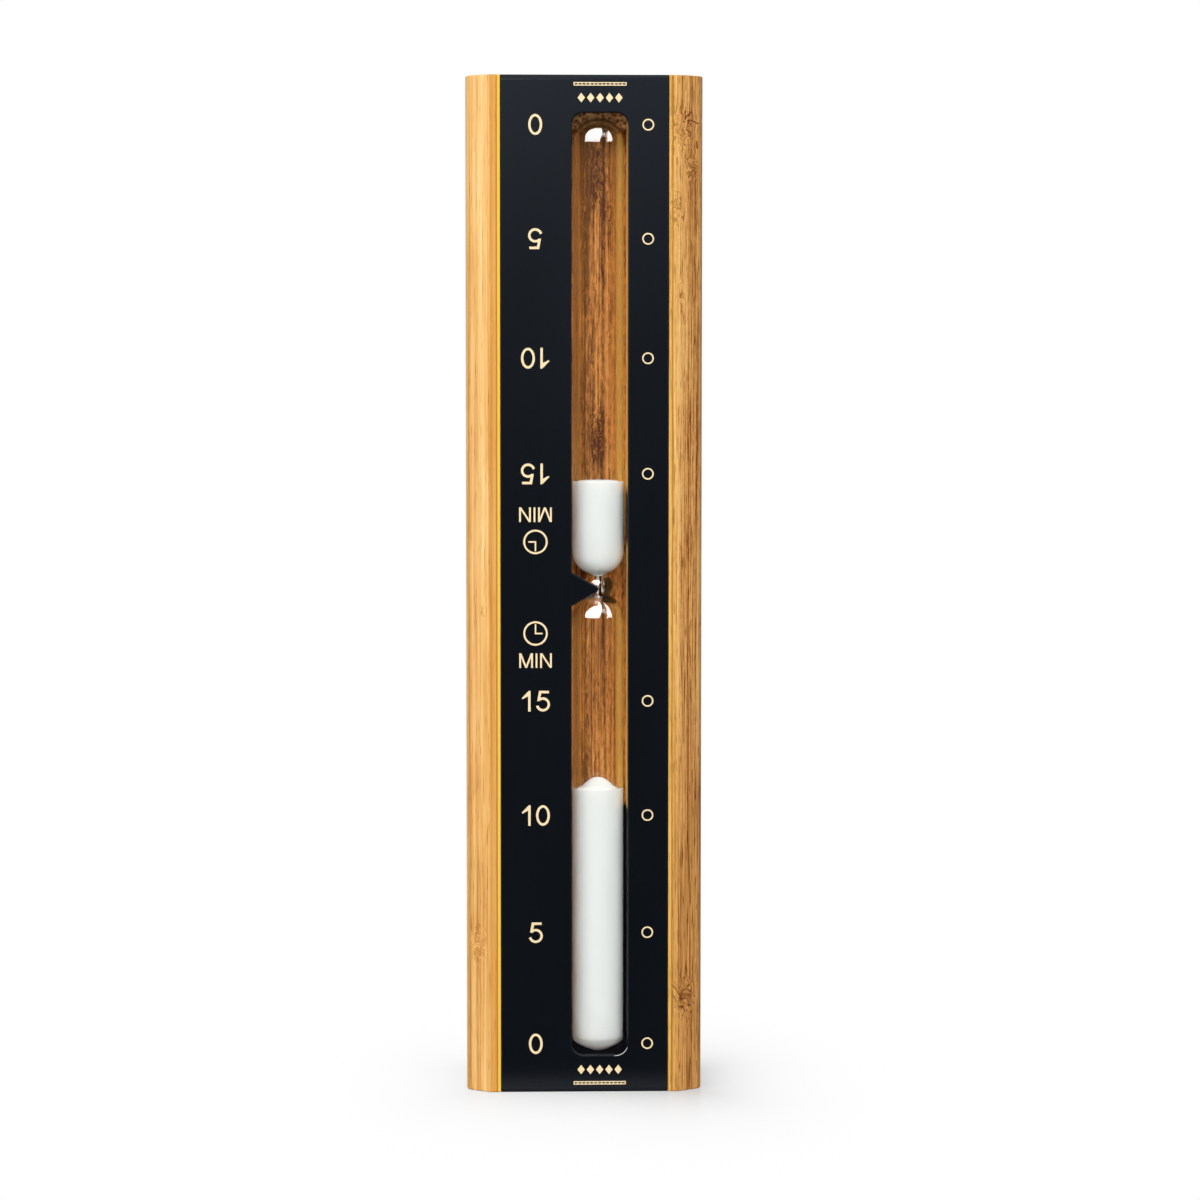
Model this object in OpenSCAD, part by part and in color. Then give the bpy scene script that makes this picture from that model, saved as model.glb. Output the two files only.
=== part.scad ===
// Fifteen-minute sand timer: a glued-up bamboo body with a black front plate, a glass
// double tube of white sand in a long slot, and a swivel hanger sunk into the back.
// The front faces -Y and the timer stands on Z = 0, over the middle of its base.
// The whole timer is turned end over end about the hanger's pivot at half its height.

/* [Body] */
// Width of the timer
body_w = 69.7; // [66:0.1:84]
// Height of the timer
body_h = 300; // [290:1:340]
// Depth of the wooden body
body_d = 32; // [31:1:42]
// Width of each slanted side band, seen from the front
facet_w = 6.85; // [4:0.05:8]
// Angle between a slanted band and the front
facet_angle = 34; // [20:1:40]
// Radius between a slanted band and the side
edge_r = 4; // [1:0.5:5]
// Radius of the two long rear edges
back_r = 2; // [0.5:0.5:3.5]
// Width of the flat wooden strip left bare at each side of the front plate
lip_w = 3.2; // [1:0.1:5]

/* [Front plate] */
// Thickness of the front plate
plate_t = 2; // [1:0.1:2.5]
// Depth of the plate's face below the wooden lips
plate_inset = 0.1; // [0.1:0.05:0.4]
// Gap between the plate's long edges and the lips
plate_gap = 0.1; // [0.05:0.05:0.3]
// Height of the bevel along the plate's top and bottom edges
end_bevel_h = 1.2; // [0.4:0.1:2]
// Depth of the bevel along the plate's top and bottom edges
end_bevel_d = 0.5; // [0.1:0.1:0.9]
// Distance of the slot's middle from the middle of the timer
slot_x = 4.5; // [0:0.1:5]
// Height of the bridge left at each end of the slot
slot_margin = 11; // [9:0.5:14]
// Radius of the slot's corners
slot_r = 3.5; // [2:0.25:6]
// Reach of the plate's tab from the slot's left edge, over the neck of the glass
tab_reach = 7.8; // [5:0.1:9]
// Height of the tab's root at the slot's edge
tab_root = 9.9; // [8:0.1:12]
// Radius of the tab's tip
tab_tip_r = 0.9; // [0.5:0.1:1.5]
// Distance of the tab's middle below the middle of the timer
tab_drop = 0.5; // [0:0.1:1]
// Thickness of the sticky tape behind the plate
tape_t = 0.3; // [0.2:0.05:0.8]
// Distance of the tape from the plate's edges and from the slot
tape_margin = 1; // [0.5:0.25:3]

/* [Glass] */
// Outer diameter of the glass tube
tube_d = 15.2; // [13:0.1:16]
// Distance of the tube's axis to the left of the slot's middle
tube_shift = 0.3; // [0:0.1:0.3]
// Wall of the glass tube
tube_wall = 1.2; // [0.8:0.1:1.6]
// Mean gap between the tube and the sides of the slot
slot_gap = 0.65; // [0.6:0.05:1.5]
// Distance that the tube's front reaches into the slot, in front of the plate's back
tube_reach = 1; // [-1:0.1:1.2]
// Gap between the tube's back and the floor of the groove
tube_rear_gap = 0.4; // [0.3:0.1:1]
// Height of the dome that closes the upper end of the tube
head_dome_h = 6; // [2.5:0.1:7]
// Height of the dome that closes the lower end of the tube
foot_dome_h = 3.9; // [2.5:0.1:6]
// Height of the domes on both sides of the neck
neck_dome_h = 6.7; // [4:0.1:8]
// Outer diameter of the thick neck
neck_d = 7.6; // [5:0.1:8.4]
// Swelling of the neck at its middle, on the radius
neck_swell = 0.6; // [0.1:0.1:0.8]
// Length of the neck between the tips of the two domes
neck_l = 5.4; // [4:0.1:9]
// Height of the neck above the middle of the timer
neck_shift = 0.6; // [0:0.1:2]
// Radius of the flares where the neck runs into the domes
neck_flare = 0.5; // [0.3:0.1:0.8]
// Diameter of the hole that the sand runs through
neck_bore_d = 1.4; // [0.8:0.1:2]

/* [Sand] */
// Height of the upper sand's edge above the middle of the timer
upper_level = 30.5; // [20:0.1:120]
// Rise of the upper sand's surface at its middle
upper_crown = 0.5; // [0:0.1:2]
// Depth of the lower sand's edge below the middle of the timer
lower_level = 60.1; // [20:0.1:120]
// Height of the cone on the lower sand
cone_h = 3.2; // [1:0.1:4]
// Gap between the sand and the glass
sand_gap = 0.1; // [0.05:0.05:0.3]

/* [Cushions] */
// Distance that the groove runs on behind the plate past each end of the slot
groove_over = 2; // [1:0.1:4]
// Height of the cushion at each end of the groove
cushion_h = 6.2; // [4:0.1:9]
// Thickness of the upper cushion over the tube's tip
head_pad_t = 3.1; // [1.5:0.1:4]
// Thickness of the lower cushion under the tube's tip
foot_pad_t = 1.7; // [1:0.1:4]
// Distance that the cushions reach in front of the tube's axis
cushion_cover = 1.5; // [0:0.1:3]
// Gap between the glass and the cushions
seat_gap = 0.1; // [0.05:0.05:0.3]

/* [Scale] */
// Thickness of the printed marks
print_t = 0.1; // [0.05:0.05:0.1]
// Distance of the numerals' column from the plate's left edge
numeral_inset = 10.25; // [6:0.05:13]
// Height of the numerals
numeral_h = 6.1; // [4:0.1:7]
// Line width of the numerals
numeral_line = 0.72; // [0.5:0.02:1]
// Distance of the rings' column from the plate's right edge
ring_inset = 6.1; // [3:0.05:8]
// Outer diameter of the rings
ring_d = 3.45; // [2.4:0.05:4]
// Line width of the rings
ring_line = 0.42; // [0.3:0.02:0.8]
// Distance of the fifteen-minute marks from the middle of the timer
mark_15 = 33.5; // [31:0.1:36]
// Distance of the ten-minute marks from the middle of the timer
mark_10 = 67.4; // [60:0.1:75]
// Distance of the five-minute marks from the middle of the timer
mark_5 = 102.3; // [95:0.1:110]
// Distance of the zero marks from the ends of the slot
mark_0_inset = 3.5; // [2:0.1:8]
// Distance of the small clocks from the middle of the timer
clock_u = 13.5; // [10:0.1:15]
// Diameter of the small clocks
clock_d = 7.2; // [5:0.1:8]
// Line width of the small clocks
clock_line = 0.55; // [0.4:0.05:1]
// Line width of the small clocks' hands
hand_line = 0.42; // [0.3:0.02:0.8]
// Distance of the unit lettering from the middle of the timer
unit_u = 21.5; // [20.5:0.1:23]
// Width of the unit lettering
unit_w = 9.6; // [7:0.1:11]
// Height of the unit lettering
unit_h = 4.3; // [3:0.1:5]
// Line width of the unit lettering
unit_line = 0.54; // [0.4:0.02:0.8]
// Distance of the end diamonds from the slot
diamond_gap = 4.3; // [3:0.1:5]
// Width of one end diamond
diamond_w = 2.2; // [1:0.1:2.6]
// Height of one end diamond
diamond_h = 2.8; // [1:0.1:3]
// Distance between neighbouring end diamonds
diamond_pitch = 2.75; // [2.7:0.05:3.5]
// Distance of the tick bar from the slot
tick_gap = 8.3; // [7.5:0.1:8.6]
// Length of the tick bar
tick_bar_l = 15.5; // [8:0.1:18]
// Height of the ticks
tick_h = 1; // [0.6:0.1:1.4]
// Line width of the ticks
tick_line = 0.28; // [0.2:0.02:0.4]

/* [Hanger] */
// Diameter of the hanger's steel disc
hanger_d = 52; // [50:1:54]
// Thickness of the steel disc
hanger_t = 3.5; // [3:0.1:4]
// Distance that the disc stands out of the timer's back
hanger_proud = 1; // [0.6:0.1:2]
// Radial gap between the disc and the recess that it turns in
hanger_gap = 1.5; // [1:0.1:3]
// Depth of the recess in the timer's back
recess_d = 6; // [5.2:0.1:7]
// Diameter of the boss in the middle of the recess
boss_d = 20; // [16:0.5:21]
// Thickness of the friction washer
washer_t = 0.8; // [0.5:0.1:1.2]
// Diameter of the friction washer
washer_d = 18; // [12:0.5:20]
// Diameter of the pivot screw's shoulder
shoulder_d = 6; // [5.6:0.1:8]
// Radial running gap between the shoulder and its bush
running_gap = 0.05; // [0.02:0.01:0.09]
// Diameter of the pivot screw's head
head_d = 11.5; // [9:0.1:12]
// Thickness of the pivot screw's head
head_t = 1.6; // [1.2:0.1:1.8]
// Depth of the pivot screw's head below the wall side of the disc
head_sink = 0.2; // [0.1:0.1:0.6]
// Gap between the head and the counterbore round it
head_gap = 0.45; // [0.3:0.05:1]
// Width of the hexagon socket across its corners
socket_w = 3.5; // [3:0.1:4.5]
// Depth of the hexagon socket
socket_d = 1; // [0.6:0.1:1.2]
// Thickness of the bush's flange
bush_flange_t = 0.5; // [0.3:0.1:0.8]
// Wall of the bush
bush_wall = 1.15; // [0.8:0.05:1.5]
// Diameter of the pivot screw's thread
thread_d = 5; // [4:0.5:5]
// Length of the pivot screw's thread
thread_l = 6.5; // [5:0.1:7]
// Diameter of the threaded insert
insert_d = 8; // [7:0.1:9]
// Length of the threaded insert
insert_l = 7.5; // [7:0.1:8.5]
// Depth of the grooves round the insert
insert_groove = 0.35; // [0.2:0.05:0.5]
// Diameter of the keyholes' entries
entry_d = 7.6; // [7:0.1:8]
// Width of the keyholes' slots
keyhole_w = 4.2; // [3.6:0.1:4.6]
// Distance that a wall screw travels along its keyhole
keyhole_travel = 6; // [5:0.5:6.5]
// Distance of the upper keyhole's entry above the pivot
upper_entry = 14.5; // [14.2:0.1:15]
// Distance of the lower keyhole's entry below the pivot
lower_entry = 20.5; // [20:0.1:21]
// Bevel round the rim of the disc
rim_bevel = 0.5; // [0.2:0.1:0.7]

/* [Hidden] */
$fn = 72;
eps = 0.2;

bamboo = [0.86, 0.62, 0.34];
black = [0.07, 0.08, 0.09];
pale_gold = [0.93, 0.82, 0.60];

// Planes along the depth, from the front to the wall
depth_all = body_d + hanger_proud;
front_y = -depth_all / 2;
back_y = front_y + body_d;
wall_y = back_y + hanger_proud;
plate_front = front_y + plate_inset;
plate_back = plate_front + plate_t;
rebate_y = plate_back + tape_t;
tube_r = tube_d / 2;
tube_y = plate_back - tube_reach + tube_r;
floor_y = tube_y + tube_r + tube_rear_gap;

// Widths and heights
mid_z = body_h / 2;
side_x = body_w / 2;
flat_x = side_x - facet_w;
plate_x = flat_x - lip_w - plate_gap;
slot_w = tube_d + 2 * slot_gap;
slot_l = body_h - 2 * slot_margin;
slot_left = slot_x - slot_w / 2;
slot_right = slot_x + slot_w / 2;
tube_x = slot_x - tube_shift;
groove_l = slot_l + 2 * groove_over;

// Tangent points of the rounded corner between a slanted band and the side
facet_d = facet_w * tan(facet_angle);
edge_t = edge_r * tan((90 - facet_angle) / 2);
edge_y = front_y + facet_d + edge_t;

// Levels of the glass, measured from the middle of the timer
tube_top = groove_l / 2 - head_pad_t;
tube_bottom = foot_pad_t - groove_l / 2;
neck_r = neck_d / 2;
neck_top = neck_shift + neck_l / 2;
neck_bottom = neck_shift - neck_l / 2;
curve_steps = 10;

// Height and exponents of the domes at the tube's ends: the upper one is round, the lower one
// has a slight point
head_dome = [head_dome_h, 2, 2];
foot_dome = [foot_dome_h, 1.1, 1.55];

// Exponents of the heap's outline, which has a hollow slope
heap_p = 1.2;
heap_q = 2;

// Half the angle between the tab's two edges, from its root's height and the reach to its tip
tab_angle = let (reach = tab_reach - tab_tip_r, half = tab_root / 2)
    atan(half / reach) - asin(tab_tip_r / norm([reach, half]));

// Planes of the hanger, from the timer's middle to the wall
disc_inner_y = wall_y - hanger_t;
head_back_y = wall_y - head_sink;
head_seat_y = head_back_y - head_t;
bore_y = head_seat_y - bush_flange_t;
boss_y = disc_inner_y - washer_t;
recess_y = back_y - recess_d;
bush_bore_d = shoulder_d + 2 * running_gap;
bush_d = bush_bore_d + 2 * bush_wall;
bush_flange_d = head_d;
counterbore_d = head_d + 2 * head_gap;
groove_count = 3;

// Places of the marks, measured from the middle of the timer
numeral_x = plate_x - numeral_inset;
ring_x = plate_x - ring_inset;
mark_heights = [mark_15, mark_10, mark_5, slot_l / 2 - mark_0_inset];
mark_minutes = [15, 10, 5, 0];
diamond_u = slot_l / 2 + diamond_gap;
tick_u = slot_l / 2 + tick_gap;
tick_pitch = 1.1;

// Shares of a numeral's height that the tens and the ones lie left and right of the middle
tens_shift = 0.3;
ones_shift = 0.355;

// Shares of a small clock's diameter that its two hands reach
upright_hand = 0.38;
level_hand = 0.29;

// Helpers

// Puts its children the other way up about the middle of the timer
module upside_down() translate([0, 0, mid_z]) mirror([0, 0, 1]) translate([0, 0, -mid_z]) children();

// A round bar along the depth, from y0 to y1, on the pivot's axis or up it by dz
module depth_bar(d, y0, y1, dz = 0)
    translate([0, y0, mid_z + dz]) rotate([-90, 0, 0]) cylinder(d = d, h = y1 - y0);

// A flat shape drawn in the front view, measured from the middle of the timer, from y0 to y1
module front_shape(y0, y1)
    translate([0, y1, mid_z]) rotate([90, 0, 0]) linear_extrude(y1 - y0) children();

// A solid turned about the tube's axis
module tube_turned()
    translate([tube_x, tube_y, mid_z]) rotate_extrude() children();

module round_rect(w, h, r) {
    square([w, h - 2 * r], center = true);
    square([w - 2 * r, h], center = true);
    for (x = [-1, 1], y = [-1, 1]) translate([x * (w / 2 - r), y * (h / 2 - r)]) circle(r);
}

// The body's section, seen from above
module body_section() {
    polygon([[-flat_x, front_y], [flat_x, front_y],
        [side_x - edge_t * cos(facet_angle), front_y + facet_d - edge_t * sin(facet_angle)],
        [side_x, edge_y], [side_x, back_y - back_r], [side_x - back_r, back_y],
        [back_r - side_x, back_y], [-side_x, back_y - back_r], [-side_x, edge_y],
        [edge_t * cos(facet_angle) - side_x, front_y + facet_d - edge_t * sin(facet_angle)]]);
    for (s = [-1, 1]) {
        translate([s * (side_x - edge_r), edge_y]) circle(edge_r);
        translate([s * (side_x - back_r), back_y - back_r]) circle(back_r);
    }
}

// The stretch of the body between two sides and between two depths
module body_part(x0, x1, y0, y1) {
    linear_extrude(body_h) intersection() {
        body_section();
        translate([x0, y0]) square([x1 - x0, y1 - y0]);
    }
}

// The shallow rebate in the rails that takes the tape and the plate
module plate_rebate() {
    half = plate_x + plate_gap;
    translate([-half, front_y - eps, -eps])
        cube([2 * half, rebate_y - front_y + eps, body_h + 2 * eps]);
}

// One bulb's outline from the neck's middle to its tip: the thick neck, a small fillet, the
// dome beside the neck, and the dome that closes the tube
function bulb(r, neck, swell, flare, mid, z0, z1, dome) =
    let (start = asin((neck + flare) / r), lift = neck_dome_h * (1 - cos(start)),
        neck_end = z0 + lift - flare, swell_steps = swell > 0 ? 4 : 1, flare_steps = 4)
    concat(
        [for (i = [1 : swell_steps]) let (t = i / swell_steps)
            [neck + swell * (1 - t * t), mid + (neck_end - mid) * t]],
        [for (i = [1 : flare_steps]) let (a = 90 * i / flare_steps)
            [neck + flare * (1 - cos(a)), neck_end + flare * sin(a)]],
        [for (i = [1 : curve_steps]) let (a = start + (90 - start) * i / curve_steps)
            [r * sin(a), z0 + neck_dome_h * (1 - cos(a))]],
        [for (i = [0 : curve_steps]) let (a = 90 - 90 * i / curve_steps)
            [r * sin(a), z1 - dome[0] + dome[0] * pow(1 - pow(sin(a), dome[1]), 1 / dome[2])]]);

// Both bulbs' outline from the lower tip to the upper one
function ampoule(r, neck, swell, flare, grow) =
    let (up = bulb(r, neck, swell, flare, neck_shift, neck_top - grow, tube_top + grow, head_dome),
        down = bulb(r, neck, swell, flare, -neck_shift, -neck_bottom - grow, grow - tube_bottom,
            foot_dome))
    concat([for (i = [len(down) - 1 : -1 : 0]) [down[i].x, -down[i].y]],
        swell > 0 ? [[neck + swell, neck_shift]] : [], up);

glass_outside = ampoule(tube_r, neck_r, neck_swell, neck_flare, 0);
glass_inside = ampoule(tube_r - tube_wall, neck_bore_d / 2, 0, neck_flare, -tube_wall);
seat_outside = ampoule(tube_r + seat_gap, neck_r + seat_gap, 0, neck_flare, seat_gap);
sand_outside = ampoule(tube_r - tube_wall - sand_gap, neck_bore_d / 2 - sand_gap, 0, neck_flare,
    -tube_wall - sand_gap);

// A line of even width along the points p
function turned(v) = [-v.y, v.x];
function along(p, i) =
    let (d = p[min(i + 1, len(p) - 1)] - p[max(i - 1, 0)]) d / norm(d);
module stroke(p, w) polygon(concat(
    [for (i = [0 : len(p) - 1]) p[i] + turned(along(p, i)) * w / 2],
    [for (i = [len(p) - 1 : -1 : 0]) p[i] - turned(along(p, i)) * w / 2]));

// The points of an oval stretch from angle a0 to a1
function oval(rx, ry, a0, a1, steps) =
    [for (i = [0 : steps]) let (a = a0 + (a1 - a0) * i / steps) [rx * cos(a), ry * sin(a)]];

// Numerals of height h and line width w, each centred on its own place
module zero(h, w) {
    half_w = 0.336 * h;
    difference() {
        polygon(oval(half_w, h / 2, 0, 350, 35));
        polygon(oval(half_w - w, h / 2 - w, 0, 350, 35));
    }
}
module one(h, w) {
    flag_end = [-0.37 * h, 0.15 * h];
    flag_root = [-w / 2, 0.24 * h];
    polygon([[-w / 2, -h / 2], [w / 2, -h / 2], [w / 2, h / 2], [-w / 4, h / 2], flag_end,
        flag_end + [w / 4, -w / 2], flag_root]);
}
module five(h, w) {
    bowl_r = 0.285 * h;
    bowl_y = bowl_r - h / 2 + w / 2;
    bowl_start = 140;
    bowl_end = -165;
    bar_x = 0.29 * h;
    stem_x = -0.13 * h;
    foot = [bowl_r * cos(bowl_start), bowl_y + bowl_r * sin(bowl_start)];
    polygon([[bar_x, h / 2], [bar_x, h / 2 - w], [stem_x + w / 2, h / 2 - w], foot + [w / 2, 0],
        foot - [w / 2, w / 4], [stem_x - w / 2, h / 2]]);
    translate([0, bowl_y]) stroke(oval(bowl_r, bowl_r, bowl_start, bowl_end, 26), w);
}
module digit(n, h, w) {
    if (n == 0) zero(h, w);
    if (n == 1) one(h, w);
    if (n == 5) five(h, w);
}
module number(n, h, w) {
    if (n < 10) digit(n, h, w);
    if (n >= 10) {
        translate([-tens_shift * h, 0]) digit(1, h, w);
        translate([ones_shift * h, 0]) digit(n - 10, h, w);
    }
}

// The unit's three capitals, of height h and line width w over the width l
module unit_letters(l, h, w) {
    m_w = 0.42 * l;
    n_w = 0.36 * l;
    m_in = 0.65 * w;
    m_dx = m_w / 2 - m_in;
    m_t = w * norm([1, m_dx / h]);
    m_y = h - h * (w - m_in + m_t / 2) / m_dx;
    n_t = 1.15 * w;
    n_y = h * w / (n_w - n_t);
    translate([-l / 2, -h / 2]) polygon([[0, 0], [w, 0], [w, m_y], [m_w / 2 - m_t / 2, 0],
        [m_w / 2 + m_t / 2, 0], [m_w - w, m_y], [m_w - w, 0], [m_w, 0], [m_w, h],
        [m_w - m_in - m_t / 2, h], [m_w / 2, h * m_t / (2 * m_dx)], [m_in + m_t / 2, h], [0, h]]);
    translate([(m_w - n_w) / 2 - w / 2, -h / 2]) square([w, h]);
    translate([l / 2 - n_w, -h / 2]) polygon([[0, 0], [w, 0], [w, h - n_y], [n_w - n_t, 0],
        [n_w, 0], [n_w, h], [n_w - w, h], [n_w - w, n_y], [n_t, h], [0, h]]);
}

// Copies its children at both ends of the slot's scale, the upper ones the other way up
module on_scale(side, x, u) translate([x, side * u]) rotate(side > 0 ? 180 : 0) children();

module printed() color(pale_gold) front_shape(plate_front - print_t, plate_front) children();

module numerals(side) printed() for (i = [0 : 3])
    on_scale(side, -numeral_x, mark_heights[i]) number(mark_minutes[i], numeral_h, numeral_line);

module rings(side) printed() for (u = mark_heights) translate([ring_x, side * u]) difference() {
    circle(d = ring_d);
    circle(d = ring_d - 2 * ring_line);
}

module clock(side) printed() on_scale(side, -numeral_x, clock_u) {
    difference() {
        circle(d = clock_d);
        circle(d = clock_d - 2 * clock_line);
    }
    e = hand_line / 2;
    polygon([[-e, -e], [level_hand * clock_d, -e], [level_hand * clock_d, e], [e, e],
        [e, upright_hand * clock_d], [-e, upright_hand * clock_d]]);
}

module unit(side) printed() on_scale(side, -numeral_x, unit_u) unit_letters(unit_w, unit_h, unit_line);

// A plain row of diamonds over a plain bar of ticks
module end_mark(side) printed() {
    for (i = [-2 : 2]) translate([slot_x + i * diamond_pitch, side * diamond_u])
        polygon([[-diamond_w / 2, 0], [0, -diamond_h / 2], [diamond_w / 2, 0], [0, diamond_h / 2]]);
    translate([slot_x, side * tick_u]) {
        for (y = [-1, 1]) translate([0, y * (tick_h - tick_line) / 2])
            square([tick_bar_l, tick_line], center = true);
        ticks = floor((tick_bar_l - tick_line) / tick_pitch);
        for (i = [0 : ticks]) translate([(i / ticks - 0.5) * (tick_bar_l - tick_line), 0])
            square([tick_line, tick_h], center = true);
    }
}

// Wooden body

module left_rail() color(bamboo) difference() {
    body_part(-side_x, slot_left, front_y, floor_y);
    plate_rebate();
}

module right_rail() color(bamboo) difference() {
    body_part(slot_right, side_x, front_y, floor_y);
    plate_rebate();
}

module back_board() color(bamboo) difference() {
    body_part(-side_x, side_x, floor_y, back_y);
    difference() {
        depth_bar(hanger_d + 2 * hanger_gap, recess_y, back_y + eps);
        depth_bar(boss_d, recess_y - eps, boss_y);
    }
    depth_bar(insert_d, boss_y - insert_l, back_y);
}

// The filler that closes the groove at one end
module end_block()
    translate([slot_left, plate_back, 0])
        cube([slot_w, floor_y - plate_back, mid_z - groove_l / 2]);
module bottom_block() color(bamboo) end_block();
module top_block() color(bamboo) upside_down() end_block();

// Front plate

// The tab's flat shape, from inside the plate to its round tip over the neck of the glass
module tab_shape() {
    middle = [slot_left + tab_reach - tab_tip_r, -tab_drop];
    polygon(concat([[slot_left - tape_margin, middle.y + tab_root / 2],
        [slot_left, middle.y + tab_root / 2]],
        [for (i = [0 : curve_steps]) let (a = (90 - tab_angle) * (1 - 2 * i / curve_steps))
            middle + tab_tip_r * [cos(a), sin(a)]],
        [[slot_left, middle.y - tab_root / 2], [slot_left - tape_margin, middle.y - tab_root / 2]]));
}

module front_plate() color(black) difference() {
    rotate([90, 0, 90]) linear_extrude(2 * plate_x, center = true)
        polygon([[plate_back, 0], [plate_front + end_bevel_d, 0], [plate_front, end_bevel_h],
            [plate_front, body_h - end_bevel_h], [plate_front + end_bevel_d, body_h],
            [plate_back, body_h]]);
    front_shape(plate_front - eps, plate_back + eps) difference() {
        translate([slot_x, 0]) round_rect(slot_w, slot_l, slot_r);
        tab_shape();
    }
}

module tape(x0, x1) color([0.85, 0.83, 0.78])
    translate([x0, plate_back, tape_margin]) cube([x1 - x0, tape_t, body_h - 2 * tape_margin]);
module left_tape() tape(tape_margin - plate_x, slot_left - tape_margin);
module right_tape() tape(slot_right + tape_margin, plate_x - tape_margin);

// Glass and sand

module glass_ampoule() color([0.75, 0.85, 0.85, 0.4]) tube_turned() difference() {
    polygon(glass_outside);
    polygon(glass_inside);
}

module upper_sand() color([0.93, 0.93, 0.91]) tube_turned() intersection() {
    polygon(sand_outside);
    polygon(concat([[0, neck_shift]], [[tube_r, neck_shift]],
        [for (i = [0 : curve_steps]) let (x = 1 - i / curve_steps)
            [tube_r * x, upper_level + upper_crown * (1 - x * x)]]));
}

module lower_sand() color([0.93, 0.93, 0.91]) tube_turned() intersection() {
    polygon(sand_outside);
    polygon(concat([[0, tube_bottom]], [[tube_r, tube_bottom]],
        [for (i = [0 : curve_steps]) let (x = 1 - i / curve_steps)
            [tube_r * x, cone_h * pow(1 - pow(x, heap_p), heap_q) - lower_level]]));
}

// Soft pieces that hold the glass

module end_cushion(u0) difference() {
    front_shape(tube_y - cushion_cover, floor_y)
        translate([slot_left, u0]) square([slot_w, cushion_h]);
    tube_turned() polygon(seat_outside);
}
module bottom_cushion() color([0.05, 0.05, 0.05]) end_cushion(-groove_l / 2);
module top_cushion() color([0.42, 0.28, 0.17]) end_cushion(groove_l / 2 - cushion_h);

// Hanger

module threaded_insert() color([0.8, 0.62, 0.3]) difference() {
    depth_bar(insert_d, boss_y - insert_l, boss_y);
    for (i = [1 : groove_count]) let (y = boss_y - insert_l + i * insert_l / (groove_count + 1))
        difference() {
            depth_bar(insert_d + eps, y - insert_groove, y + insert_groove);
            depth_bar(insert_d - 2 * insert_groove, y - insert_l, y + insert_l);
        }
    depth_bar(thread_d, boss_y - insert_l - eps, boss_y + eps);
}

module pivot_screw() color([0.75, 0.76, 0.78]) difference() {
    union() {
        depth_bar(thread_d, boss_y - thread_l, boss_y);
        depth_bar(shoulder_d, boss_y, head_seat_y);
        depth_bar(head_d, head_seat_y, head_back_y);
    }
    translate([0, head_back_y - socket_d, mid_z]) rotate([-90, 0, 0])
        cylinder(d = socket_w, h = socket_d + eps, $fn = 6);
}

module friction_washer() color([0.30, 0.20, 0.15]) difference() {
    depth_bar(washer_d, boss_y, disc_inner_y);
    depth_bar(bush_bore_d, boss_y - eps, disc_inner_y + eps);
}

// One keyhole: a wide entry and a narrow slot above it for the neck of the wall screw
module keyhole(dz) {
    depth_bar(entry_d, disc_inner_y - eps, wall_y + eps, dz);
    depth_bar(keyhole_w, disc_inner_y - eps, wall_y + eps, dz + keyhole_travel);
    translate([-keyhole_w / 2, disc_inner_y - eps, mid_z + dz])
        cube([keyhole_w, hanger_t + 2 * eps, keyhole_travel]);
}

module wall_disc() color([0.62, 0.63, 0.65]) difference() {
    r = hanger_d / 2;
    translate([0, disc_inner_y, mid_z]) rotate([-90, 0, 0]) rotate_extrude()
        polygon([[0, 0], [r - rim_bevel, 0], [r, rim_bevel], [r, hanger_t - rim_bevel],
            [r - rim_bevel, hanger_t], [0, hanger_t]]);
    depth_bar(bush_d, disc_inner_y - eps, wall_y);
    depth_bar(counterbore_d, bore_y, wall_y + eps);
    keyhole(upper_entry);
    keyhole(-lower_entry);
}

module disc_bush() color([0.92, 0.92, 0.88]) difference() {
    union() {
        depth_bar(bush_d, disc_inner_y, bore_y);
        depth_bar(bush_flange_d, bore_y, head_seat_y);
    }
    depth_bar(bush_bore_d, disc_inner_y - eps, head_seat_y + eps);
}

// Printed marks

module upper_numerals() numerals(1);
module lower_numerals() numerals(-1);
module upper_rings() rings(1);
module lower_rings() rings(-1);
module upper_clock() clock(1);
module lower_clock() clock(-1);
module upper_unit() unit(1);
module lower_unit() unit(-1);
module upper_end_mark() end_mark(1);
module lower_end_mark() end_mark(-1);

left_rail();
right_rail();
back_board();
top_block();
bottom_block();
front_plate();
left_tape();
right_tape();
glass_ampoule();
upper_sand();
lower_sand();
top_cushion();
bottom_cushion();
threaded_insert();
pivot_screw();
friction_washer();
wall_disc();
disc_bush();
upper_numerals();
lower_numerals();
upper_rings();
lower_rings();
upper_clock();
lower_clock();
upper_unit();
lower_unit();
upper_end_mark();
lower_end_mark();
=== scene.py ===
import math
from collections import namedtuple

import bpy
from mathutils import Matrix, Vector


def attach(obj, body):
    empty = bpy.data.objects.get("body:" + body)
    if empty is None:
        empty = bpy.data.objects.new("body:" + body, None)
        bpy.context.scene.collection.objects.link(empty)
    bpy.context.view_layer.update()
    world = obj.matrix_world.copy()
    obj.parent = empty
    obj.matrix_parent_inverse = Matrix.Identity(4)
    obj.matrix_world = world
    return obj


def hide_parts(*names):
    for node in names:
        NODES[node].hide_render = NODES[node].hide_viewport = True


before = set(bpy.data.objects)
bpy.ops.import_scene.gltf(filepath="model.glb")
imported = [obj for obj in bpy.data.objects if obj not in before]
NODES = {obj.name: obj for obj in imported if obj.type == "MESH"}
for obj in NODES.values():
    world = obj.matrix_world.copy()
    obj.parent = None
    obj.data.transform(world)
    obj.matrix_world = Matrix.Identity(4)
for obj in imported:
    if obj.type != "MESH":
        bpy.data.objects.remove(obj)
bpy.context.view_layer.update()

MM = 0.001

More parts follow.
